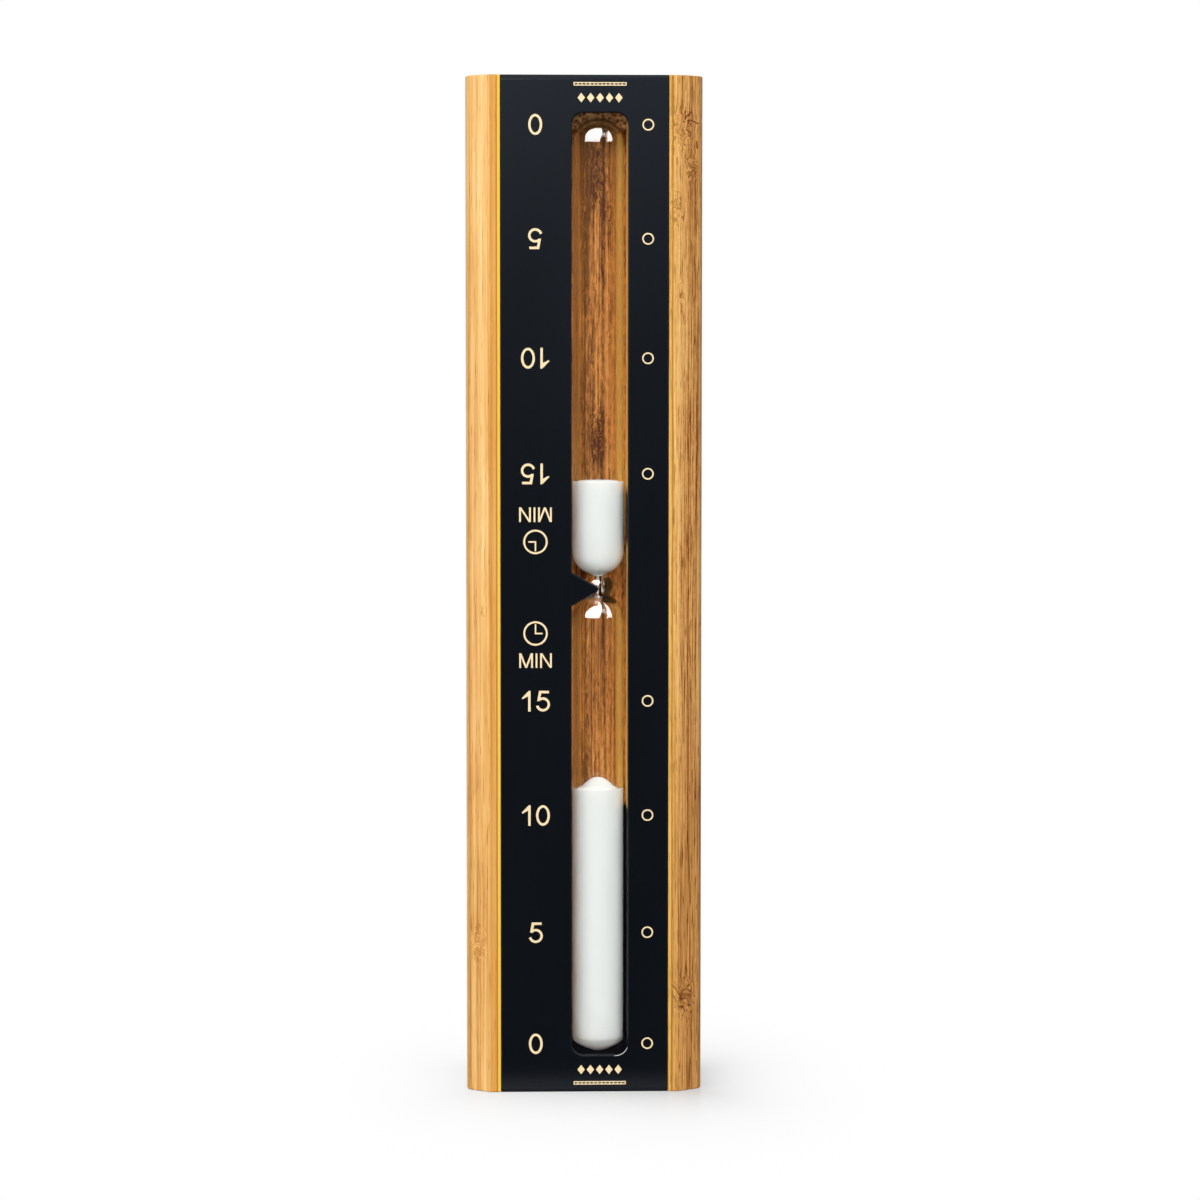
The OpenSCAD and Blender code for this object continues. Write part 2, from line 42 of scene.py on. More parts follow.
# Where things lie, in millimetres, as in the part's own source
MIDDLE = 150.0
BODY_TOP = 300.0
FRONT = -16.5
PLATE_FRONT = -16.4
JOINT = 0.2  # the plane where the rails meet the board, also the groove's floor
BACK = 15.5
HALF_BODY = 34.85
HALF_FLAT = 28.0
PLATE_EDGE = 24.8
GROOVE_LEFT = -3.75
GROOVE_RIGHT = 12.75
TUBE = (4.2, -7.8)
TUBE_R = 7.6
BORE_R = 6.1
RECESS_R = 27.5

# How fast a colour changes at a border: fully over a quarter of a millimetre, or at once
CRISP = 4000.0
AT_ONCE = 1e5


# ---------------------------------------------------------------- materials


class Value:
    """A number that varies over a surface. Arithmetic on it adds Math nodes."""

    def __init__(self, finish, socket):
        self.finish = finish
        self.socket = socket

    def do(self, operation, *others, clamp=False):
        return self.finish.add(
            "ShaderNodeMath",
            {"operation": operation, "use_clamp": clamp},
            dict(enumerate((self, *others))),
        )

    def flipped(self, operation, other):
        return self.finish.add(
            "ShaderNodeMath", {"operation": operation}, {0: other, 1: self}
        )

    def __add__(self, other):
        return self.do("ADD", other)

    def __sub__(self, other):
        return self.do("SUBTRACT", other)

    def __mul__(self, other):
        return self.do("MULTIPLY", other)

    def __truediv__(self, other):
        return self.do("DIVIDE", other)

    def __radd__(self, other):
        return self.flipped("ADD", other)

    def __rsub__(self, other):
        return self.flipped("SUBTRACT", other)

    def __rmul__(self, other):
        return self.flipped("MULTIPLY", other)

    def __neg__(self):
        return self * -1.0

    def size(self):
        return self.do("ABSOLUTE")

    def exp(self):
        return self.do("EXPONENT")

    def root(self):
        return self.do("SQRT")

    def limited(self):
        return self.do("ADD", 0.0, clamp=True)


class Finish:
    """One material, or the world, made node by node."""

    def __init__(self, name, world=None):
        self.material = world or bpy.data.materials.new(name)
        self.material.use_nodes = True
        self.tree = self.material.node_tree
        self.tree.nodes.clear()
        kind = "ShaderNodeOutputWorld" if world else "ShaderNodeOutputMaterial"
        self.end = self.tree.nodes.new(kind)
        self.glow_kind = "ShaderNodeBackground" if world else "ShaderNodeEmission"

    def add(self, kind, settings=None, sockets=None, out=0):
        """Adds a node: its settings first, then the values or links of its sockets."""
        node = self.tree.nodes.new(kind)
        for name, value in (settings or {}).items():
            if name == "stops":
                ramp = node.color_ramp.elements
                while len(ramp) < len(value):
                    ramp.new(0.5)
                for stop, (place, colour) in zip(ramp, value):
                    stop.position = place
                    stop.color = (*colour, 1.0)
            else:
                setattr(node, name, value)
        for name, value in (sockets or {}).items():
            if isinstance(value, Value):
                self.tree.links.new(value.socket, node.inputs[name])
            else:
                node.inputs[name].default_value = value
        return Value(self, node.outputs[out])

    def place(self):
        return self.add("ShaderNodeTexCoord", out="Object")

    def parts(self, vector):
        node = self.add("ShaderNodeSeparateXYZ", None, {0: vector}).socket.node
        return [Value(self, socket) for socket in node.outputs]

    def vector(self, x, y, z):
        return self.add("ShaderNodeCombineXYZ", None, {0: x, 1: y, 2: z})

    def noise(self, vector, scale, shift=0.0, detail=2.0, roughness=0.5):
        """Cloudy noise, stretched by a scale for each direction."""
        put = self.add(
            "ShaderNodeMapping",
            None,
            {"Vector": vector, "Location": (shift, shift * 0.7, shift * 1.3), "Scale": scale},
        )
        return self.add(
            "ShaderNodeTexNoise",
            None,
            {"Vector": put, "Scale": 1.0, "Detail": detail, "Roughness": roughness},
        )

    def cells(self, vector, scale, shift=0.0):
        """Distance to the nearest of many scattered points."""
        put = self.add(
            "ShaderNodeMapping",
            None,
            {"Vector": vector, "Location": (shift, shift, shift), "Scale": scale},
        )
        return self.add("ShaderNodeTexVoronoi", None, {"Vector": put, "Scale": 1.0})

    def blend(self, share, first, second):
        return self.add(
            "ShaderNodeMix", {"data_type": "RGBA"}, {0: share, 6: first, 7: second}, out=2
        )

    def ramp(self, share, *stops):
        return self.add("ShaderNodeValToRGB", {"stops": stops}, {0: share})

    def bump(self, height, strength, depth):
        return self.add(
            "ShaderNodeBump", None, {"Height": height, "Strength": strength, "Distance": depth}
        )

    def leaned(self, normal, way, share):
        """A normal that leans towards a fixed way, as light soaks sideways through grains."""
        return self.add(
            "ShaderNodeMix",
            {"data_type": "VECTOR"},
            {"Factor": share, 4: normal, 5: way},
            out=1,
        )

    def surface(self, **sockets):
        return self.add(
            "ShaderNodeBsdfPrincipled",
            None,
            {name.replace("_", " "): value for name, value in sockets.items()},
        )

    def glow(self, colour, strength):
        return self.add(self.glow_kind, None, {"Color": colour, "Strength": strength})

    def mixed(self, share, first, second):
        return self.add("ShaderNodeMixShader", None, {0: share, 1: first, 2: second})

    def ray(self, kind):
        """What the Light Path node says of the present ray."""
        return self.add("ShaderNodeLightPath", out=kind)

    def shown(self, shader):
        self.tree.links.new(shader.socket, self.end.inputs["Surface"])
        return self.material


def rgb(*steps):
    """A colour from its 0 to 255 steps on a screen, as light."""
    return tuple(
        (s / 255 / 12.92 if s <= 10 else ((s / 255 + 0.055) / 1.055) ** 2.4) for s in steps
    )


def rgba(*steps):
    return (*rgb(*steps), 1.0)


def band(value, low, high, soft):
    """1 between low and high and 0 outside, with soft edges."""
    return ((value - low) / soft).limited() * ((high - value) / soft).limited()


def contour(value, level, sharpness):
    """A thin line wherever a value passes a level."""
    return (1.0 - (value - level).size() * sharpness).limited()


def spot(x, z, middle_x, middle_z, wide, high):
    """A soft oval spot on the front view, in millimetres."""
    across = (x - middle_x * MM) / (wide * MM)
    along = (z - middle_z * MM) / (high * MM)
    return (-(across * across + along * along)).exp()


def slash(x, z, from_x, from_z, to_x, to_z, wide):
    """A thin line between two points of the front view, in millimetres."""
    run, rise = (to_x - from_x) * MM, (to_z - from_z) * MM
    over, up = x - from_x * MM, z - from_z * MM
    along = ((over * run + up * rise) / (run * run + rise * rise)).limited()
    over, up = over - along * run, up - along * rise
    return (1.0 - (over * over + up * up).root() / (wide * MM)).limited()


# A rail's trim: the strength of the painted highlight on its edge by the plate, the gold of its
# front flat and its share, and a lift of the flat's tone
Trim = namedtuple("Trim", "shine gold gold_share lift")
# Near-black for painted shadow, where the sands keep the light off the groove's wood
SAND_SHADOW_BLACK = rgba(8, 5, 4)


def bamboo(
    name, tones, seed, broad, fine, knots, streaks=(), slashes=(), knot_depth=0.36,
    rosy_share=0.4, specks=0.0, trim=None, is_board=False,
):
    """Lacquered laminated bamboo: long fibres, dark vessels, and knots where they swirl.

    broad and fine are the strengths of its wide and its narrow streaks. A rail has a trim,
    and the board has its own tones on the floor of the groove.
    """
    f = Finish(name)
    place = f.place()
    x, y, z = f.parts(place)
    swirl = 0.0
    for knot in knots:
        swirl = spot(x, z, *knot) + swirl
    slow = f.noise(place, (70, 70, 4), seed, 2)
    eddy = f.noise(place, (420, 420, 300), seed + 3, 2)
    wander = (slow - 0.5) * 0.0022 + (eddy - 0.5) * swirl * 0.016
    bent = f.vector(x + wander, y + wander, z)
    staves = f.noise(bent, (300, 300, 1.6), seed + 5, 1)
    bands = f.noise(bent, (800, 800, 5), seed + 7, 2)
    fibres = f.noise(bent, (2300, 2300, 26), seed + 11, 3, 0.6)
    hairs = ((f.noise(bent, (3400, 3400, 14), seed + 31, 1) - 0.57) * 8.0).limited()
    cracks = contour(f.noise(bent, (760, 760, 15), seed + 37, 1), 0.44, 26.0)
    vessels = ((f.noise(bent, (2900, 2900, 150), seed + 13, 1) - 0.60) * 9.0).limited()
    clouds = f.noise(place, (120, 120, 26), seed + 17, 3, 0.6)
    mottle = f.noise(place, (1300, 1300, 420), seed + 41, 3, 0.65)
    tone = 0.52 + (staves - 0.5) * broad + (bands - 0.5) * 1.15 * broad
    tone = tone + (fibres - 0.5) * 0.8 * fine + (clouds - 0.5) * 0.7 * broad
    tone = tone - vessels * 0.30 * fine - hairs * 0.22 * fine - cracks * (fine - 0.8) * 0.3
    tone = tone + (mottle - 0.5) * specks
    ragged = ((fibres + mottle - 0.78) * 3.2).limited()
    for *where, depth in streaks:
        tone = tone - spot(x, z, *where) * ragged * depth
    curls = contour(f.noise(bent, (390, 390, 150), seed + 23, 1, 0.5), 0.5, 22.0)
    tone = tone - curls * swirl.limited() * (knot_depth * fine) - swirl.limited() * 0.04
    for line in slashes:
        tone = tone - slash(x + wander * 0.6, z, *line) * 0.9
    flat = band(x.size(), 24.0 * MM, HALF_FLAT * MM, 0.35 * MM)
    on_floor = ((JOINT * MM - y) * CRISP + 1.0).limited()
    if is_board:
        tone = groove_floor_tone(x, tone, on_floor)
    if trim:
        tone = tone + flat * trim.lift
    dark, middle, pale = tones
    colour = f.ramp(tone, (0.0, dark), (0.5, middle), (1.0, pale))
    rosy = f.noise(place, (260, 260, 9), seed + 19, 2)
    rosy = ((rosy - 0.5) * 2.0).limited() * rosy_share
    colour = f.blend(rosy, colour, rgba(206, 140, 92))
    if is_board:
        # Painted shadow: the right of the groove's floor turns black beside the lower sand
        edge = ((x - 11.3 * MM) * CRISP).limited() * on_floor
        colour = f.blend(edge * lower_sand_shadow(z), colour, SAND_SHADOW_BLACK)
    if trim:
        colour = f.blend(flat * trim.gold_share, colour, trim.gold)
        colour = groove_walls(f, x, z, bands, colour)
        colour = plate_border(f, x, y, trim.shine, colour)
    ends = ((z - MIDDLE * MM).size() * AT_ONCE - (MIDDLE * MM * AT_ONCE - 2.0)).limited()
    pores = ((f.cells(place, (1500, 1500, 20), seed) - 0.25) * 4.0).limited()
    colour = f.blend(ends, colour, f.blend(pores, rgba(120, 70, 30), rgba(214, 160, 98)))
    height = fibres * 0.7 + bands * 0.5 - vessels * 0.6
    return f.shown(
        f.surface(
            Base_Color=colour,
            Roughness=0.36 + fibres * 0.16 + ends * 0.2,
            Normal=f.bump(height, 0.25, 0.00012),
            Specular_IOR_Level=0.18,
            Coat_Weight=0.05,
            Coat_Roughness=0.3,
        )
    )


def lower_sand_shadow(z):
    """The stretch beside the lower sand where painted shadow turns the wood black."""
    return band(z, 10 * MM, 85 * MM, 1.5 * MM)


def groove_floor_tone(x, tone, on_floor):
    """Painted shade darker towards the left of the groove's floor, where the slot's left edge
    shades it, and painted light brighter towards its right; calm and even on the board's
    outside.
    """
    # painted shade to the left and painted light to the right, on the groove's floor only
    shade = ((x - 7.8 * MM) * 45.0).do("MAXIMUM", -0.27).do("MINIMUM", 0.12)
    calm = (tone - 0.52) * 0.5 + 0.62
    return calm + (tone + shade - calm) * on_floor


def groove_walls(f, x, z, bands, colour):
    """Painted light on the groove's right wall, made bright, with painted shadow in black where
    the sands shade it, and painted shade in brown on the left wall.
    """
    reach = 0.45 * MM
    right = ((GROOVE_RIGHT * MM + reach - x) * CRISP).limited() * (x * CRISP).limited()
    # painted light: the right wall's bright colours stand in for light reaching it through the
    # tube
    bright = f.blend(bands, rgba(255, 190, 92), rgba(255, 209, 112))
    sand_shadowed = lower_sand_shadow(z) + band(z, 161 * MM, 180 * MM, 3.0 * MM)
    colour = f.blend(right, colour, f.blend(sand_shadowed, bright, SAND_SHADOW_BLACK))
    # painted shade on the left wall, which faces away from the light
    left = ((x - GROOVE_LEFT * MM + reach) * CRISP).limited() * (x * -CRISP).limited()
    return f.blend(left * 0.5, colour, rgba(184, 104, 36))


def plate_border(f, x, y, shine, colour):
    """A painted highlight on the rebate's edge beside the plate, and the darker line next to
    it.
    """
    out = x.size()
    near = band(y, (FRONT - 1) * MM, (FRONT + 0.2) * MM, 0.05 * MM)
    edge = band(out, (PLATE_EDGE - 0.2) * MM, (PLATE_EDGE + 0.85) * MM, 0.1 * MM) * near
    line = band(out, (PLATE_EDGE + 0.75) * MM, (PLATE_EDGE + 1.35) * MM, 0.2 * MM) * near
    # painted highlight along the edge by the plate, strongest on the left rail, which faces the
    # light
    colour = f.blend(edge * shine, colour, rgba(255, 205, 75))
    return f.blend(line * 0.75, colour, rgba(176, 112, 24))


def satin_black():
    """Satin black sheet with a hair-fine grain, and a bright lower right corner of its slot."""
    f = Finish("satin_black")
    place = f.place()
    x, y, z = f.parts(place)
    grain = f.noise(place, (5000, 5000, 160), 2, 2)
    haze = f.noise(place, (30, 30, 12), 9, 4, 0.6)
    colour = f.blend(haze, (0.0026, 0.0042, 0.0066, 1), (0.0044, 0.0060, 0.0090, 1))
    rough = 0.14 + haze * 0.06 + grain * 0.03
    rim = ((y - (PLATE_FRONT + 0.02) * MM) * AT_ONCE).limited()
    polished = band(x, 8.8 * MM, 13.4 * MM, 0.1 * MM) * band(z, 10.0 * MM, 17.0 * MM, 0.1 * MM)
    rough = (rough + rim * (0.8 - rough)) * (1.0 - rim * polished)
    return f.shown(
        f.surface(
            Base_Color=colour,
            Roughness=rough,
            Specular_IOR_Level=0.3,
            Normal=f.bump(grain, 0.06, 0.00004),
        )
    )


def pale_print():
    """The scale: pale gold ink with the slight unevenness of a screen print."""
    f = Finish("pale_gold_print")
    place = f.place()
    film = f.noise(place, (1600, 1600, 1600), 4, 3, 0.6)
    warm = f.noise(place, (90, 90, 90), 8, 2)
    colour = f.blend(film, rgba(240, 204, 146), rgba(255, 243, 205))
    colour = f.blend(warm * 0.5, colour, rgba(255, 226, 186))
    return f.shown(
        f.surface(
            Base_Color=colour,
            Roughness=0.5 + film * 0.15,
            Normal=f.bump(film, 0.15, 0.00003),
        )
    )


def clear_glass():
    """Lamp-worked glass, a little wavy, with painted shade on the right of the neck for the
    dark surroundings that the neck refracts.
    """
    f = Finish("clear_glass")
    place = f.place()
    x, y, z = f.parts(place)
    wave = f.noise(place, (260, 260, 120), 6, 1)
    seeds = f.noise(place, (700, 700, 240), 5, 2)
    clear = f.blend(seeds, (0.985, 0.975, 0.955, 1), (1.0, 0.995, 0.985, 1))
    neck = band(z, (MIDDLE - 4.8) * MM, (MIDDLE + 2.9) * MM, 0.5 * MM)
    painted_neck_shade = neck * ((x - (TUBE[0] + 1.0) * MM) / (1.0 * MM)).limited()
    glass = f.surface(
        Base_Color=f.blend(painted_neck_shade, clear, (0.02, 0.014, 0.008, 1)),
        Roughness=0.0,
        IOR=1.49,
        Transmission_Weight=1.0,
        Normal=f.bump(wave, 0.02, 0.00025),
    )
    # An opaque near-black surface, mixed in as painted shade on the right of the neck
    dusk = f.surface(
        Base_Color=f.blend(seeds, (0.004, 0.003, 0.002, 1), (0.03, 0.02, 0.01, 1)),
        Roughness=0.08 + seeds * 0.05,
        Normal=f.bump(wave, 0.02, 0.00025),
    )
    glass = f.mixed(painted_neck_shade * 0.82, glass, dusk)
    see = f.add("ShaderNodeBsdfTransparent", None, {"Color": (0.985, 0.99, 0.985, 1)})
    return f.shown(f.mixed(f.ray("Is Shadow Ray"), glass, see))


def white_sand():
    """Fine white quartz sand."""
    f = Finish("white_sand")
    place = f.place()
    grains = f.cells(place, (3600, 3600, 3600), 3)
    drifts = f.noise(place, (160, 160, 60), 12, 3)
    colour = f.ramp(
        grains * 0.6 + drifts * 0.5,
        (0.1, rgb(222, 227, 228)),
        (0.5, rgb(234, 239, 240)),
        (0.9, rgb(226, 230, 229)),
    )
    return f.shown(
        f.surface(
            Base_Color=colour,
            Roughness=0.92 - grains * 0.1,
            Specular_IOR_Level=0.15,
            Subsurface_Weight=1.0,
            Subsurface_Radius=(1.0, 1.0, 1.0),
            Subsurface_Scale=0.005,
            Normal=f.leaned(f.bump(grains, 0.2, 0.00008), (0.02, -1.0, 0.06), 0.6),
        )
    )


def cork():
    """Dark baked cork with pressed crumbs."""
    f = Finish("baked_cork")
    place = f.place()
    crumbs = f.cells(place, (900, 900, 900), 6)
    fine = f.noise(place, (2600, 2600, 2600), 7, 3)
    colour = f.ramp(
        crumbs * 0.8 + fine * 0.3,
        (0.1, rgb(40, 22, 12)),
        (0.45, rgb(150, 98, 50)),
        (0.85, rgb(250, 206, 140)),
    )
    return f.shown(
        f.surface(
            Base_Color=colour,
            Roughness=0.75 + fine * 0.15,
            Normal=f.bump(crumbs + fine * 0.4, 0.5, 0.0002),
        )
    )


def black_rubber():
    """Matt black rubber with moulding dust; on the bottom cushion its black is partly painted
    shade, the deep shade at the groove's lower end.
    """
    f = Finish("black_rubber")
    place = f.place()
    dust = f.noise(place, (800, 800, 800), 3, 4, 0.7)
    return f.shown(
        f.surface(
            Base_Color=f.blend(dust, (0.002, 0.002, 0.004, 1), (0.006, 0.006, 0.009, 1)),
            Roughness=0.6 + dust * 0.2,
            Specular_IOR_Level=0.06,
            Normal=f.bump(dust, 0.2, 0.0001),
        )
    )


def foam_tape():
    """The pale cut edge of the foam tape."""
    f = Finish("foam_tape")
    foam = f.cells(f.place(), (4000, 4000, 4000), 1)
    return f.shown(
        f.surface(
            Base_Color=f.blend(foam, rgba(196, 190, 176), rgba(232, 228, 218)),
            Roughness=0.7 + foam * 0.2,
            Normal=f.bump(foam, 0.4, 0.0001),
        )
    )


def turned_metal(name, low, high, rough):
    """Metal with fine turning rings about the hanger's pivot, and faint stains."""
    f = Finish(name)
    place = f.place()
    x, y, z = f.parts(place)
    up = z - MIDDLE * MM
    radius = (x * x + up * up).root()
    rings = f.noise(f.vector(radius, y, 0.0), (2600, 900, 1), 5, 2)
    stain = f.noise(place, (130, 130, 130), 15, 4, 0.6)
    colour = f.blend(rings * 0.6 + stain * 0.4, (*low, 1.0), (*high, 1.0))
    return f.shown(
        f.surface(
            Base_Color=colour,
            Metallic=1.0,
            Roughness=rough + rings * 0.12 + stain * 0.1,
            Normal=f.bump(rings, 0.12, 0.00005),
        )
    )


def nylon():
    """Milky natural nylon."""
    f = Finish("natural_nylon")
    cloud = f.noise(f.place(), (500, 500, 500), 4, 3)
    return f.shown(
        f.surface(
            Base_Color=f.blend(cloud, rgba(212, 210, 198), rgba(238, 236, 228)),
            Roughness=0.4 + cloud * 0.15,
            Normal=f.bump(cloud, 0.1, 0.0001),
        )
    )


def brown_fibre():
    """Pressed brown fibre sheet."""
    f = Finish("brown_fibre")
    place = f.place()
    flock = f.noise(place, (900, 900, 900), 4, 4, 0.7)
    return f.shown(
        f.surface(
            Base_Color=f.blend(flock, rgba(78, 40, 26), rgba(132, 78, 52)),
            Roughness=0.7 + flock * 0.2,
            Normal=f.bump(flock, 0.3, 0.0001),
        )
    )


# ---------------------------------------------------------------- modelling


MERGED = 0.002 * MM
LEVEL = math.radians(0.5)


def nothing_selected():
    if bpy.context.mode != "OBJECT":
        bpy.ops.object.mode_set(mode="OBJECT")
    bpy.ops.object.select_all(action="DESELECT")


def alone(piece):
    """Makes a piece the active one and the only one selected."""
    nothing_selected()
    piece.select_set(True)
    bpy.context.view_layer.objects.active = piece


def copy_of(node, name):
    """A piece that starts as a merged copy of a CAD node, with its flat faces whole."""
    piece = bpy.data.objects.new(name, NODES[node].data.copy())
    bpy.context.scene.collection.objects.link(piece)
    alone(piece)
    bpy.ops.object.mode_set(mode="EDIT")
    bpy.ops.mesh.select_all(action="SELECT")
    bpy.ops.mesh.customdata_custom_splitnormals_clear()
    bpy.ops.mesh.remove_doubles(threshold=MERGED)
    bpy.ops.mesh.dissolve_limited(angle_limit=LEVEL)
    bpy.ops.object.mode_set(mode="OBJECT")
    return piece


def ease_edges(piece, chosen, width):
    """Rounds the edges whose two ends chosen() accepts, given in millimetres."""
    alone(piece)
    bpy.ops.object.mode_set(mode="EDIT")
    bpy.ops.mesh.select_all(action="DESELECT")
    bpy.ops.mesh.select_mode(type="EDGE")
    bpy.ops.object.mode_set(mode="OBJECT")
    mesh = piece.data
    for edge in mesh.edges:
        ends = [mesh.vertices[i].co / MM for i in edge.vertices]
        edge.select = chosen(*ends)
    bpy.ops.object.mode_set(mode="EDIT")
    bpy.ops.mesh.bevel(offset=width * MM, segments=3, affect="EDGES", clamp_overlap=True)
    bpy.ops.object.mode_set(mode="OBJECT")


def smooth(piece):
    """Smooth shading that leaves the large flat faces flat."""
    alone(piece)
    bpy.ops.object.shade_smooth_by_angle(angle=math.radians(35.0))
    even = piece.modifiers.new("even", "WEIGHTED_NORMAL")
    even.keep_sharp = True
    bpy.ops.object.modifier_apply(modifier="even")


def settled(piece, material, node):
    """Gives a finished piece its material and its body, and hides the CAD node that it stands
    for.
    """
    piece.data.materials.clear()
    piece.data.materials.append(material)
    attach(piece, "timer")
    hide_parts(node)


def softened(node, name, rims, material):
    """A copy of a CAD node with some of its edges rounded, each kind to its own width."""
    piece = copy_of(node, name)
    for rim, width in rims:
        ease_edges(piece, rim, width)
    smooth(piece)
    settled(piece, material, node)


def painted(node, material):
    """Gives a CAD node its material."""
    for slot in NODES[node].material_slots:
        slot.material = material


def eased(node, width):
    """Lets live modifiers round a CAD node's sharp edges."""
    piece = NODES[node]
    weld = piece.modifiers.new("whole", "WELD")
    weld.merge_threshold = MERGED
    flat = piece.modifiers.new("flat", "DECIMATE")
    flat.decimate_type = "DISSOLVE"
    flat.angle_limit = LEVEL
    ease = piece.modifiers.new("ease", "BEVEL")
    ease.width = width * MM
    ease.segments = 2
    ease.limit_method = "ANGLE"
    ease.angle_limit = math.radians(40.0)


def turned(name, outline):
    """A closed shape turned about the tube's axis.

    The outline is a list of radii and of heights above the timer's middle. A ring at a tip
    keeps a tiny radius until the end, when its points are merged.
    """
    nothing_selected()
    rings = [(max(r, 0.0005), u) for r, u in outline]
    radius, height = rings[0]
    centre = (TUBE[0] * MM, TUBE[1] * MM, (MIDDLE + height) * MM)
    bpy.ops.mesh.primitive_circle_add(vertices=96, radius=radius * MM, location=centre)
    piece = bpy.context.object
    piece.name = name
    bpy.ops.object.mode_set(mode="EDIT")
    bpy.ops.mesh.select_all(action="SELECT")
    for next_radius, next_height in rings[1:]:
        rise = (next_height - height) * MM
        bpy.ops.mesh.extrude_region_move(TRANSFORM_OT_translate={"value": (0, 0, rise)})
        share = next_radius / radius
        middle = (centre[0], centre[1], (MIDDLE + next_height) * MM)
        bpy.ops.transform.resize(value=(share, share, 1), center_override=middle)
        radius, height = next_radius, next_height
    bpy.ops.mesh.select_all(action="SELECT")
    bpy.ops.mesh.remove_doubles(threshold=0.003 * MM)
    bpy.ops.mesh.normals_make_consistent(inside=False)
    bpy.ops.object.mode_set(mode="OBJECT")
    bpy.ops.object.transform_apply(location=True, rotation=True, scale=True)
    bpy.ops.object.shade_smooth()
    return piece


def dome(radius, base, rise, start, stop, steps, round_p=2.0, round_q=2.0):
    """Points on a dome from the angle start off its axis to stop.

    A negative rise points down, and the two powers make the dome fuller or more pointed.
    """
    points = []
    for i in range(steps + 1):
        a = math.radians(start + (stop - start) * i / steps)
        s = min(1.0, math.sin(a))
        points.append((radius * s, base + rise * (1 - s**round_p) ** (1 / round_q)))
    return points


# ---------------------------------------------------------------- the glass and the sand

# Heights above the timer's middle, in millimetres: the tube's two tips, the ends of its
# straight bulbs at the neck, and the tops of the two sands
FOOT_TIP = -139.3
HEAD_TIP = 137.9
UPPER_DOME = 10.05
LOWER_DOME = -8.75
UPPER_LEVEL = 30.95
LOWER_LEVEL = -60.2

NECK_R = 0.62
CONE_RISE = 3.1


def glass_tube():
    """The double tube: its outer skin and the hollow for the sand, joined at a solid neck."""
    outside = dome(TUBE_R, FOOT_TIP + 3.9, -3.9, 0, 90, 14, 1.1, 1.55)
    outside += [(TUBE_R, FOOT_TIP + 4.4), (TUBE_R, LOWER_DOME - 2.8)]
    outside += dome(TUBE_R, LOWER_DOME - 2.25, 8.95, 90, 29, 18, 2.0, 2.6)
    outside += [(3.62, -2.7), (3.75, -2.2), (4.08, -1.4), (4.32, -0.6), (4.4, 0.2)]
    outside += [(4.28, 1.1), (3.95, 1.9), (3.4, 2.6), (2.75, 3.1), (2.45, 3.45), (2.6, 3.72)]
    outside += dome(TUBE_R, UPPER_DOME, -6.7, 22, 90, 14)
    outside += [(TUBE_R, UPPER_DOME + 0.5), (TUBE_R, HEAD_TIP - 8.0)]
    outside += dome(TUBE_R, HEAD_TIP - 7.5, 7.5, 90, 0, 18, 2.0, 2.4)
    glass = turned("glass_tube", outside)
    hollow = turned("glass_hollow", hollow_outline())
    alone(hollow)
    bpy.ops.object.mode_set(mode="EDIT")
    bpy.ops.mesh.select_all(action="SELECT")
    bpy.ops.mesh.flip_normals()
    bpy.ops.object.mode_set(mode="OBJECT")
    glass.select_set(True)
    bpy.context.view_layer.objects.active = glass
    bpy.ops.object.join()
    settled(glass, clear_glass(), "glass_ampoule")


def hollow_outline(gap=0.0):
    """The hollow's outline from the lower tip to the upper one, shrunk by a gap.

    The sands take a negative gap: they reach a little into the glass, so that no film of
    air shows between the two.
    """
    r = BORE_R - gap
    neck = NECK_R - gap
    points = dome(r, FOOT_TIP + 4.7, -3.1 + gap, 0, 90, 12, 1.2, 1.6)
    points += [(r, FOOT_TIP + 5.2), (r, LOWER_DOME - 0.5)]
    points += dome(r, LOWER_DOME, 5.6 - gap, 90, 18, 12)
    points += [(1.35 - gap, -2.7), (0.9 - gap, -2.0), (0.7 - gap, -1.2), (neck, 0.0)]
    points += [(neck, 0.8), (0.72 - gap, 1.7), (0.95 - gap, 2.7), (1.3 - gap, 3.6)]
    points += dome(r, UPPER_DOME, -5.9 + gap, 16, 90, 12)
    points += [(r, UPPER_DOME + 0.5), (r, HEAD_TIP - 6.5)]
    points += dome(r, HEAD_TIP - 6, 4.6 - gap, 90, 0, 12)
    return points


def above(points, level):
    """The part of an outline above a level, which starts on its cut."""
    for (r0, u0), (r1, u1) in zip(points, points[1:]):
        if u0 < level <= u1:
            share = (level - u0) / (u1 - u0)
            return [(r0 + share * (r1 - r0), level)] + [p for p in points if p[1] > level]
    return points


def below(points, level):
    """The part of an outline below a level, which ends on its cut."""
    mirrored = above([(r, -u) for r, u in reversed(points)], -level)
    return [(r, -u) for r, u in reversed(mirrored)]


def upper_sand():
    """What is left above the neck, with a low crown and a rim that clings to the glass."""
    inside = above(below(hollow_outline(-0.06), UPPER_LEVEL), -0.3)
    inside = [(r * (0.62 if u < 2.2 else 1.0), u) for r, u in inside]
    rim = inside[-1][0]
    crown = UPPER_LEVEL + 0.36
    top = [(rim * s, UPPER_LEVEL + c) for s, c in ((0.985, 0.22), (0.95, 0.3), (0.85, 0.36))]
    top += [(rim * s, crown + 0.24 * (1 - s)) for s in (0.7, 0.5, 0.3, 0.12, 0.0)]
    sand = turned("upper_heap", [(0.0, -0.35)] + inside + top)
    settled(sand, white_sand(), "upper_sand")


